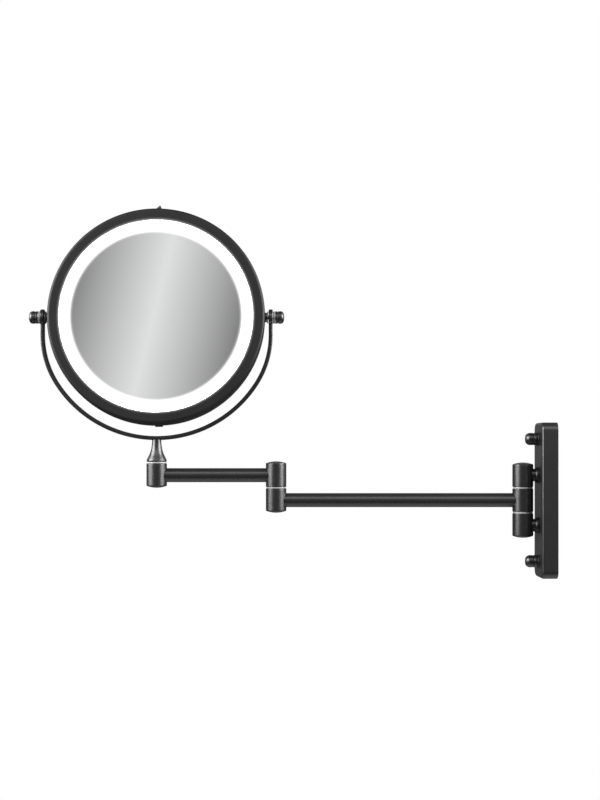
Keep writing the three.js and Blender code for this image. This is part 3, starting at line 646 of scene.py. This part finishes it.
def yoke_bar():
    """A flat bar bent to a U in three arcs between two straight ends, each with an eye."""
    half_width = extent("yoke_bar").x / 2 - BAR_THICK * MM / 2
    drop = PIVOT.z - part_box("yoke_bar")[0].z - BAR_THICK * MM / 2
    side_x = half_width - SIDE_ARC * MM
    offset = (MAIN_ARC - SIDE_ARC) * MM
    main_z = MAIN_ARC * MM - drop
    side_z = main_z - sqrt(offset ** 2 - side_x ** 2)
    side_angle = atan2(main_z - side_z, side_x)
    start = SIDE_START * MM
    bm = open_section(BAR_THICK, BAR_WIDE, BAR_CORNER)
    bmesh.ops.translate(bm, vec=(-half_width, 0, start), verts=bm.verts)
    edges = draw_out(bm, bm.edges[:], (0, 0, side_z - start))
    edges = bend(bm, edges, (-side_x, 0, side_z), side_angle, 14)
    edges = bend(bm, edges, (0, 0, main_z), pi - 2 * side_angle, 56)
    edges = bend(bm, edges, (side_x, 0, side_z), side_angle, 14)
    draw_out(bm, edges, (0, 0, start - side_z))
    bmesh.ops.holes_fill(bm, edges=[edge for edge in bm.edges if edge.is_boundary], sides=0)
    bmesh.ops.recalc_face_normals(bm, faces=bm.faces)
    eyes = []
    for side in (-1, 1):
        eye = turned([
            (EYE_BORE, -BAR_THICK / 2, 0.25), (EYE_RADIUS, -BAR_THICK / 2, 0.8),
            (EYE_RADIUS, BAR_THICK / 2, 0.8), (EYE_BORE, BAR_THICK / 2, 0.25),
        ], closed=True, around=64)
        eyes.append(moved(eye, Matrix.Translation((side * half_width, 0, 0)) @ ALONG_X))
    piece("bent_bar", merged(bm, *eyes), "yoke", SATIN, ["yoke_bar"], Matrix.Translation(PIVOT), crease=50)


# ------------------------------------------------------------------ mirror head: radii and depths

HEAD_RADIUS = 108.4
HALF_DEPTH = 14
LIP = 1.5
SHELL_INNER = 105
BEZEL_SPLIT = -6.15
COVER_SPLIT = 4.85
SEAM = 0.15
GLASS_FACE = 0.3 + LIP - HALF_DEPTH
DISH_CENTRE = 8.4
DISH_CURVATURE = 1400
DISH_THICK = 1.8
DISH_RADIUS = 102.1
DISH_STEPS = 22
RING_OUTER = 104.4
WEB_FRONT = -6
WEB_BACK = -4.5
TRAY_MIDDLE = 16
SLOT_CUT_FROM = 90
SLOT_WALL_FROM = 104
RIM_STEPS = 180


def front_bezel():
    ring = turned([
        (OPENING, LIP - HALF_DEPTH, 0.2), (OPENING, 0.45 - HALF_DEPTH, 0.3),
        (OPENING + 1.3, -HALF_DEPTH, 0.8), (HEAD_RADIUS - 0.3, -HALF_DEPTH, 2.9),
        (HEAD_RADIUS, BEZEL_SPLIT - SEAM, 0.4),
        (SHELL_INNER, BEZEL_SPLIT - SEAM, 0.2), (SHELL_INNER, LIP - HALF_DEPTH, 0.5),
    ], closed=True, around=RIM_STEPS)
    piece("bezel", ring, "head", BEZEL, ["front_bezel"], HEAD_FACE)


def glass_and_light():
    glass = turned([
        (0, GLASS_FACE, 0), (GLASS_RADIUS - 1.2, GLASS_FACE, 0.1),
        (GLASS_RADIUS + 0.15, GLASS_FACE, 0.25), (GLASS_RADIUS + 0.15, GLASS_FACE + 3, 0.25),
        (0, GLASS_FACE + 3, 0),
    ], around=RIM_STEPS)
    piece("plain_mirror", glass, "head", FRONT_GLASS, ["front_mirror"], HEAD_FACE)
    inner = GLASS_RADIUS + 0.2
    ring = turned([
        (inner, GLASS_FACE, 0.1), (RING_OUTER, GLASS_FACE, 0.3), (RING_OUTER, GLASS_FACE + 2.4, 0.3),
        (inner, GLASS_FACE + 2.4, 0.1),
    ], closed=True, around=RIM_STEPS)
    piece("light_ring", ring, "head", OPAL, ["light_diffuser"], HEAD_FACE)


def cut_slot(bm, low, high):
    """Opens a rectangular slot through the drum's wall, where low and high give across and depth."""
    for point, normal in (
        ((low[0], 0, 0), (1, 0, 0)), ((high[0], 0, 0), (1, 0, 0)),
        ((0, low[1], 0), (0, 1, 0)), ((0, high[1], 0), (0, 1, 0)),
    ):
        near = [face for face in bm.faces if face.calc_center_median().z > SLOT_CUT_FROM * MM]
        edges = list({edge for face in near for edge in face.edges})
        verts = list({vert for face in near for vert in face.verts})
        bmesh.ops.bisect_plane(
            bm, geom=near + edges + verts, dist=1e-7, plane_co=point, plane_no=normal,
        )
    inside = []
    for face in bm.faces:
        at = face.calc_center_median()
        if at.z > SLOT_WALL_FROM * MM and low[0] < at.x < high[0] and low[1] < at.y < high[1]:
            inside.append(face)
    bmesh.ops.delete(bm, geom=inside, context="FACES")
    rim = [edge for edge in bm.edges if edge.is_boundary]
    bmesh.ops.bridge_loops(bm, edges=rim)


def head_housing():
    """The drum with its web and ribs, the battery tray's walls and the slot for the light switch."""
    drum = turned([
        (0, WEB_FRONT, 0), (102.4, WEB_FRONT, 0.2), (102.4, -8.4, 0.3), (104.5, -8.4, 0.3),
        (104.5, WEB_FRONT, 0), (HEAD_RADIUS, WEB_FRONT, 0.4), (HEAD_RADIUS, COVER_SPLIT - SEAM, 0.4),
        (105.3, COVER_SPLIT - SEAM, 0.25), (105.3, WEB_BACK, 0.5), (0, WEB_BACK, 0),
    ], around=RIM_STEPS)
    moved(drum, ALONG_Y)
    cut_slot(drum, (-4.7 * MM, -4.3 * MM), (4.7 * MM, -0.9 * MM))
    bmesh.ops.recalc_face_normals(drum, faces=drum.faces)
    tray = [
        box_shape((58, 7.6, 1.4), (0, -0.9, TRAY_MIDDLE + side * 17.9), 0.4) for side in (-1, 1)
    ] + [
        box_shape((1.4, 7.6, 37.2), (side * 28.3, -0.9, TRAY_MIDDLE), 0.4) for side in (-1, 1)
    ]
    ribs = []
    for angle in range(15, 360, 30):
        rib = box_shape((1.2, 4.4, 26), (0, -2.5, 84), 0.4)
        ribs.append(moved(rib, Matrix.Rotation(radians(angle), 4, "Y")))
    whole = merged(drum, *tray, *ribs)
    piece("housing", whole, "head", MATTE, ["head_housing"], HEAD, crease=40)


def rear_cover():
    """The pull-off rim with its finger lip, holding the magnifying dish."""
    rim = turned([
        (OPENING, HALF_DEPTH - LIP, 0.2), (102.6, HALF_DEPTH - LIP, 0.2), (102.6, 2, 0.3),
        (104.8, 2, 0.5), (104.8, COVER_SPLIT + SEAM, 0.2), (HEAD_RADIUS, COVER_SPLIT + SEAM, 0.4),
        (HEAD_RADIUS - 0.9, HALF_DEPTH, 2.9), (OPENING + 1.3, HALF_DEPTH, 0.8),
        (OPENING, HALF_DEPTH - 0.45, 0.3),
    ], closed=True, around=RIM_STEPS)
    moved(rim, ALONG_Y)
    lip = box_shape((8, 3.2, 3.6), (2.5, 7.4, -HEAD_RADIUS + 1.0), 0.9, 4)
    piece("rear_rim_ring", merged(rim, lip), "rear_cover", MATTE, ["rear_rim"], HEAD)
    dish = []
    for step in range(DISH_STEPS + 1):
        radius = DISH_RADIUS * step / DISH_STEPS
        dish.append((radius, DISH_CENTRE + radius ** 2 / (2 * DISH_CURVATURE), 0))
    back = [(radius, depth - DISH_THICK, 0) for radius, depth, _ in dish[::-4]]
    glass = turned(dish + back + [(0, DISH_CENTRE - DISH_THICK, 0)], around=RIM_STEPS)
    piece("magnifier", glass, "rear_cover", REAR_GLASS, ["magnifying_mirror"], HEAD_FACE, crease=50)


# ------------------------------------------------------------------ inside the head


CELLS = (1, 2, 3)
CONTACT_SHEET = 0.5
STRIP_INSET = 1.4
BOARD_THICK = 1.4


def battery_cells():
    for index in CELLS:
        node = f"battery_cell_{index}"
        cell = turned([
            (0, 0, 0), (4.4, 0, 0.2), (5.2, 0.35, 0.4), (5.2, 43.1, 0.7), (4.5, 43.5, 0.2),
            (1.9, 43.5, 0.1), (1.9, 44.45, 0.3), (0, 44.5, 0),
        ], around=48)
        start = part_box(node)[0].x
        there = Matrix.Translation((start, middle(node).y, middle(node).z)) @ ALONG_X
        piece(f"cell_{index}", cell, "head", CELL_SLEEVE, [node], there)


def tilted_middle(node):
    """A head node's middle, in the head's own straight frame."""
    return HEAD.inverted() @ middle(node)


def coil_spring(turns=4, wide=3, narrow=1.6, length=3.1, wire=0.28):
    """A small cone spring wound about Z, wide end at the strip."""
    bm = bmesh.new()
    bmesh.ops.create_circle(bm, segments=8, radius=wire * MM)
    moved(bm, Matrix.Translation((wide * MM, 0, 0)) @ Matrix.Rotation(pi / 2, 4, "X"))
    steps = 18 * turns
    bmesh.ops.spin(
        bm, geom=bm.verts[:] + bm.edges[:], cent=(0, 0, 0), axis=(0, 0, 1), angle=2 * pi * turns,
        dvec=(0, 0, length * MM / steps), steps=steps, use_merge=False,
    )
    for vert in bm.verts:
        taper = 1 - (1 - narrow / wide) * min(max(vert.co.z / (length * MM), 0), 1)
        vert.co.x *= taper
        vert.co.y *= taper
    bmesh.ops.holes_fill(bm, edges=[edge for edge in bm.edges if edge.is_boundary], sides=0)
    bmesh.ops.recalc_face_normals(bm, faces=bm.faces)
    return bm


def battery_contacts():
    for place, side in (("left", 1), ("right", -1)):
        node = f"battery_contact_{place}"
        centre = tilted_middle(node)
        strip_x = centre.x / MM - side * STRIP_INSET
        strip = box_shape((CONTACT_SHEET, 7, 34), (strip_x, centre.y / MM, centre.z / MM), 0.2)
        springs = []
        for index in CELLS:
            cell = tilted_middle(f"battery_cell_{index}")
            turn = ALONG_X if side > 0 else ALONG_MINUS_X
            there = Matrix.Translation((strip_x * MM + side * 0.4 * MM, cell.y, cell.z)) @ turn
            springs.append(moved(coil_spring(), there))
        piece(f"contact_{place}", merged(strip, *springs), "head", BRASS, [node], HEAD)


def extent_in_head(node):
    """How deep a head node is along the head's own axis, in millimetres."""
    depths = [(HEAD.inverted() @ vert.co).y for vert in frame["nodes"][node].data.vertices]
    return (max(depths) - min(depths)) / MM


def driver_board():
    """The bare board with its chip, the chip's pins, a coil and a capacitor."""
    centre = tilted_middle("driver_board")
    face = centre.y / MM - extent_in_head("driver_board") / 2 + BOARD_THICK
    z = centre.z / MM
    board = box_shape((44, BOARD_THICK, 22), (0, face - BOARD_THICK / 2, z), 0.2, 2)
    piece("board", board, "head", GREEN_BOARD, ["driver_board"], HEAD)
    chip = box_shape((8, 1.6, 8), (0, face + 0.8, z), 0.3)
    pins = []
    for side in (-1, 1):
        for step in range(-3, 4):
            pins.append(box_shape((0.5, 0.4, 1.6), (step * 1.05, face + 0.25, z + side * 4.6), 0.1, 1))
    piece("board_chip", chip, "head", INNER_MATTE, (), HEAD)
    piece("chip_pins", merged(*pins), "head", STEEL, (), HEAD)
    coil = turned([
        (0, 0, 0), (3.1, 0, 0.3), (3.1, 1, 0.3), (2.6, 1.2, 0.2), (2.6, 2.6, 0.2), (3.1, 2.8, 0.3),
        (3.1, 3.4, 0.3), (0, 3.4, 0),
    ], around=40)
    there = HEAD @ Matrix.Translation((10 * MM, face * MM, z * MM + 2 * MM)) @ ALONG_Y
    piece("board_coil", coil, "head", INNER_MATTE, (), there)
    capacitor = box_shape((4, 2.6, 6), (-10, face + 1.3, z), 0.5)
    piece("board_capacitor", capacitor, "head", BRASS, (), HEAD)


# ------------------------------------------------------------------ light switch


FIN_HEIGHT = 4.55
FIN_DEPTH = 2.6
FIN_GAP = 0.25


def light_switch():
    """A thumb fin with a long lead-in on one side, on its stem through the slot."""
    centre = tilted_middle("switch_slider")
    tip = HEAD_RADIUS + FIN_HEIGHT
    foot = HEAD_RADIUS + FIN_GAP
    bm = bmesh.new()
    outline = [(-4.5, foot), (3.3, foot), (1.5, tip), (0.5, tip)]
    face = bm.faces.new([bm.verts.new((x * MM, 0, z * MM)) for x, z in outline])
    made = bmesh.ops.extrude_face_region(bm, geom=[face])["geom"]
    far_side = [item for item in made if isinstance(item, bmesh.types.BMVert)]
    bmesh.ops.translate(bm, vec=(0, FIN_DEPTH * MM, 0), verts=far_side)
    bmesh.ops.translate(bm, vec=(0, -FIN_DEPTH / 2 * MM, 0), verts=bm.verts)
    bmesh.ops.recalc_face_normals(bm, faces=bm.faces)
    soften(bm, bm.edges, 0.45, 4)
    stem = box_shape((4.4, 2.4, 6), (0, 0, HEAD_RADIUS - 2.6), 0.3)
    plate = box_shape((12.8, 2.8, 1.1), (0, 0, 102.6), 0.3)
    shift = Matrix.Translation((centre.x, centre.y, 0))
    piece("switch_fin", merged(bm, stem, plate), "light_switch", SATIN, ["switch_slider"], HEAD @ shift)


# ------------------------------------------------------------------ tilt pivots


PIVOT_BORE = 2.4
BUSH_NECK = 3.1
BUSH_RADIUS = 4.85
WASHER_RADIUS = 6.05


def outward(node, side):
    """Where a pivot piece starts and ends, in millimetres outward from the head's middle."""
    low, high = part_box(node)
    return sorted((side * (low.x - PIVOT.x) / MM, side * (high.x - PIVOT.x) / MM))


def pivots():
    """Bush, inner washer, outer washer and domed knob, outward on each side."""
    for place, turn, side in (("left", ALONG_MINUS_X, -1), ("right", ALONG_X, 1)):
        there = Matrix.Translation(PIVOT) @ turn
        in_head = HEAD @ turn
        start, end = outward(f"pivot_bush_{place}", side)
        bush = turned([
            (PIVOT_BORE, start, 0.2), (BUSH_NECK, start, 0.2), (BUSH_NECK, HEAD_RADIUS - 0.6, 0.1),
            (BUSH_RADIUS, HEAD_RADIUS - 0.6, 0.1), (BUSH_RADIUS, end, 0.45), (PIVOT_BORE, end, 0.2),
        ], closed=True, around=64)
        piece(f"bush_{place}", bush, "head", SATIN, [f"pivot_bush_{place}"], in_head)
        for name, node, body, lie in (
            (f"washer_in_{place}", f"inner_washer_{place}", "head", in_head),
            (f"washer_out_{place}", f"outer_washer_{place}", "yoke", there),
        ):
            start, end = outward(node, side)
            ring = turned([
                (PIVOT_BORE, start, 0.15), (WASHER_RADIUS, start, 0.35), (WASHER_RADIUS, end, 0.35),
                (PIVOT_BORE, end, 0.15),
            ], closed=True, around=64)
            piece(name, ring, body, SMOKED, [node], lie)
        start, end = outward(f"knob_cap_{place}", side)
        knob = turned([
            (0, start + 5.2, 0), (2.35, start + 5.2, 0.2), (2.35, start, 0.2), (6.2, start, 0.35),
            (6.2, start + 2.25, 0.4), (5.5, start + 2.5, 0.15), (5.5, start + 3.0, 0.15),
            (6.28, start + 3.25, 0.35), (6.28, end - 1.2, 3.4), (2.8, end - 0.1, 4), (0, end, 0),
        ], around=80, steps=7)
        piece(f"knob_{place}", knob, f"{place}_knob", SATIN, [f"knob_cap_{place}"], in_head)


# ------------------------------------------------------------------ plain CAD pieces that keep their shape

KEPT = {
    "mounting_bracket": SATIN,
    "stud_upper": STEEL,
    "stud_lower": STEEL,
    "post_screw_upper": STEEL,
    "post_screw_lower": STEEL,
    "wall_hinge_pin": STEEL,
    "elbow_pin": STEEL,
    "neck_pin": STEEL,
    "knob_stem_left": STEEL,
    "knob_stem_right": STEEL,
    "board_screw_left": STEEL,
    "board_screw_right": STEEL,
    "led_board": WHITE_BOARD,
    "switch_body": INNER_MATTE,
    "battery_wire": RED_WIRE,
    "led_wire": BLACK_WIRE,
}


def finish_kept_nodes():
    for node, finish in KEPT.items():
        materials = frame["nodes"][node].data.materials
        materials.clear()
        materials.append(finish[0])


# ------------------------------------------------------------------ studio

PANEL_SIZE = (1.3, 1.2)
PANEL_POWER = 140
PANEL_AIM = (-0.28, 0, 0.08)
LEFT_PANEL = (-1.72, -0.45, 0.64)
RIGHT_PANEL = (1.16, -0.45, 0.64)
FRONT_TOP_SIZE = (1.8, 0.6)
FRONT_TOP_POWER = 16
FRONT_TOP_AIM = (-0.28, 0, 0.05)
FRONT_TOP = (-0.3, -1.35, 1.2)

# The surroundings' bands: brightness, width and place, then where they dim to the sides and below
BAND_HIGH = 0.99
BAND_LOW = 0.23
BAND_WIDTH = radians(3.8)
BAND_SLANT = -0.25
BAND_PLACE = radians(8.25)
SIDE_LEVEL = 0.4
SIDE_DIM_FROM = 0.62
SIDE_DIM_TO = 0.9
LOW_LEVEL = 0.35
LOW_DIM_FROM = -0.05
LOW_DIM_TO = 0.18

FLOOR_Z = -0.72
FLOOR_REACH = 0.62

CAMERA_PLACE = (-0.2842, -1.5, 0.0553)
CAMERA_LENS = 67.5
CAMERA_SHIFT = (0.0375, 0.056)


def soft_light(name, at, aim, size, power):
    """A rectangular soft box."""
    data = bpy.data.lights.new(name, "AREA")
    data.shape = "RECTANGLE"
    data.size, data.size_y = size
    data.energy = power
    lamp = bpy.data.objects.new(name, data)
    lamp.location = at
    lamp.rotation_euler = (Vector(aim) - Vector(at)).to_track_quat("-Z", "Y").to_euler()
    lamp.visible_camera = False
    scene.collection.objects.link(lamp)
    return lamp


def soft_boxes():
    """A big soft box high on each side, and a faint one above the camera."""
    return [
        soft_light("left_panel", LEFT_PANEL, PANEL_AIM, PANEL_SIZE, PANEL_POWER),
        soft_light("right_panel", RIGHT_PANEL, PANEL_AIM, PANEL_SIZE, PANEL_POWER),
        soft_light("front_top", FRONT_TOP, FRONT_TOP_AIM, FRONT_TOP_SIZE, FRONT_TOP_POWER),
    ]


def keep_off_glass(lamps):
    """The mirrors show the grey surroundings and not the soft boxes."""
    glass = bpy.data.collections.new("glass")
    for name in ("plain_mirror", "magnifier"):
        glass.objects.link(bpy.data.objects[name])
    for member in glass.collection_objects:
        member.light_linking.link_state = "EXCLUDE"
    for lamp in lamps:
        lamp.light_linking.receiver_collection = glass


def studio_world():
    """White behind the object. Around it, soft grey bands that a mirror shows as a gentle gradient."""
    world = bpy.data.worlds.new("studio")
    scene.world = world
    world.use_nodes = True
    nodes = world.node_tree.nodes
    links = world.node_tree.links
    nodes.clear()
    output = nodes.new("ShaderNodeOutputWorld")
    direction = nodes.new("ShaderNodeTexCoord")
    split = nodes.new("ShaderNodeSeparateXYZ")
    links.new(direction.outputs["Generated"], split.inputs[0])

    def maths(operation, first, second=None, third=None):
        node = nodes.new("ShaderNodeMath")
        node.operation = operation
        for socket, value in zip(node.inputs, (first, second, third)):
            if value is None:
                continue
            if isinstance(value, (int, float)):
                socket.default_value = value
            else:
                links.new(value, socket)
        return node.outputs[0]

    across = maths("ARCTAN2", split.outputs["X"], maths("MULTIPLY", split.outputs["Y"], -1))
    slanted = maths("MULTIPLY_ADD", split.outputs["Z"], BAND_SLANT, across)
    band = maths("PINGPONG", maths("ADD", slanted, BAND_PLACE), BAND_WIDTH)
    level = maths("MULTIPLY_ADD", band, (BAND_LOW - BAND_HIGH) / BAND_WIDTH, BAND_HIGH)
    ahead = nodes.new("ShaderNodeMapRange")
    ahead.interpolation_type = "SMOOTHSTEP"
    ahead.inputs["From Min"].default_value = SIDE_DIM_FROM
    ahead.inputs["From Max"].default_value = SIDE_DIM_TO
    ahead.inputs["To Min"].default_value = SIDE_LEVEL
    links.new(maths("ABSOLUTE", split.outputs["Y"]), ahead.inputs["Value"])
    level = maths("MULTIPLY", level, ahead.outputs["Result"])
    above = nodes.new("ShaderNodeMapRange")
    above.interpolation_type = "SMOOTHSTEP"
    above.inputs["From Min"].default_value = LOW_DIM_FROM
    above.inputs["From Max"].default_value = LOW_DIM_TO
    above.inputs["To Min"].default_value = LOW_LEVEL
    links.new(split.outputs["Z"], above.inputs["Value"])
    level = maths("MULTIPLY", level, above.outputs["Result"])
    around = nodes.new("ShaderNodeBackground")
    links.new(level, around.inputs["Strength"])
    white = nodes.new("ShaderNodeBackground")
    white.inputs["Color"].default_value = (1, 1, 1, 1)
    white.inputs["Strength"].default_value = 1.0
    rays = nodes.new("ShaderNodeLightPath")
    mix = nodes.new("ShaderNodeMixShader")
    links.new(rays.outputs["Is Camera Ray"], mix.inputs[0])
    links.new(around.outputs[0], mix.inputs[1])
    links.new(white.outputs[0], mix.inputs[2])
    links.new(mix.outputs[0], output.inputs["Surface"])


def floor():
    """A pale floor disc, lit so that it is as white as the background."""
    bm = bmesh.new()
    bmesh.ops.create_circle(bm, cap_ends=True, segments=96, radius=FLOOR_REACH)
    bmesh.ops.translate(bm, vec=(middle("long_tube").x, 0, FLOOR_Z), verts=bm.verts)
    mesh = bpy.data.meshes.new("floor")
    bm.to_mesh(mesh)
    bm.free()
    ground = bpy.data.objects.new("floor", mesh)
    scene.collection.objects.link(ground)
    material, nodes, links, shader, place = start_material("pale_floor")
    cloud = noise(nodes, links, place, 300, 2)
    tone = between(nodes, links, cloud, (0.30, 0.30, 0.30), (0.33, 0.33, 0.33))
    links.new(tone, shader.inputs["Base Color"])
    shader.inputs["Roughness"].default_value = 0.8
    mesh.materials.append(material)


def camera():
    data = bpy.data.cameras.new("camera")
    data.lens = CAMERA_LENS
    data.sensor_width = 36
    data.shift_x, data.shift_y = CAMERA_SHIFT
    view = bpy.data.objects.new("camera", data)
    view.location = CAMERA_PLACE
    view.rotation_euler = (pi / 2, 0, 0)
    scene.collection.objects.link(view)
    scene.camera = view


# ------------------------------------------------------------------ build

wall_plate()
fix_to_wall_plate()
hinge_posts()
barrels()
arm_tubes()
hinge_washers()
yoke_neck()
yoke_bar()
front_bezel()
glass_and_light()
head_housing()
rear_cover()
battery_cells()
battery_contacts()
driver_board()
light_switch()
pivots()
finish_kept_nodes()

floor()
camera()
studio_world()
keep_off_glass(soft_boxes())
scene.view_settings.view_transform = "Standard"
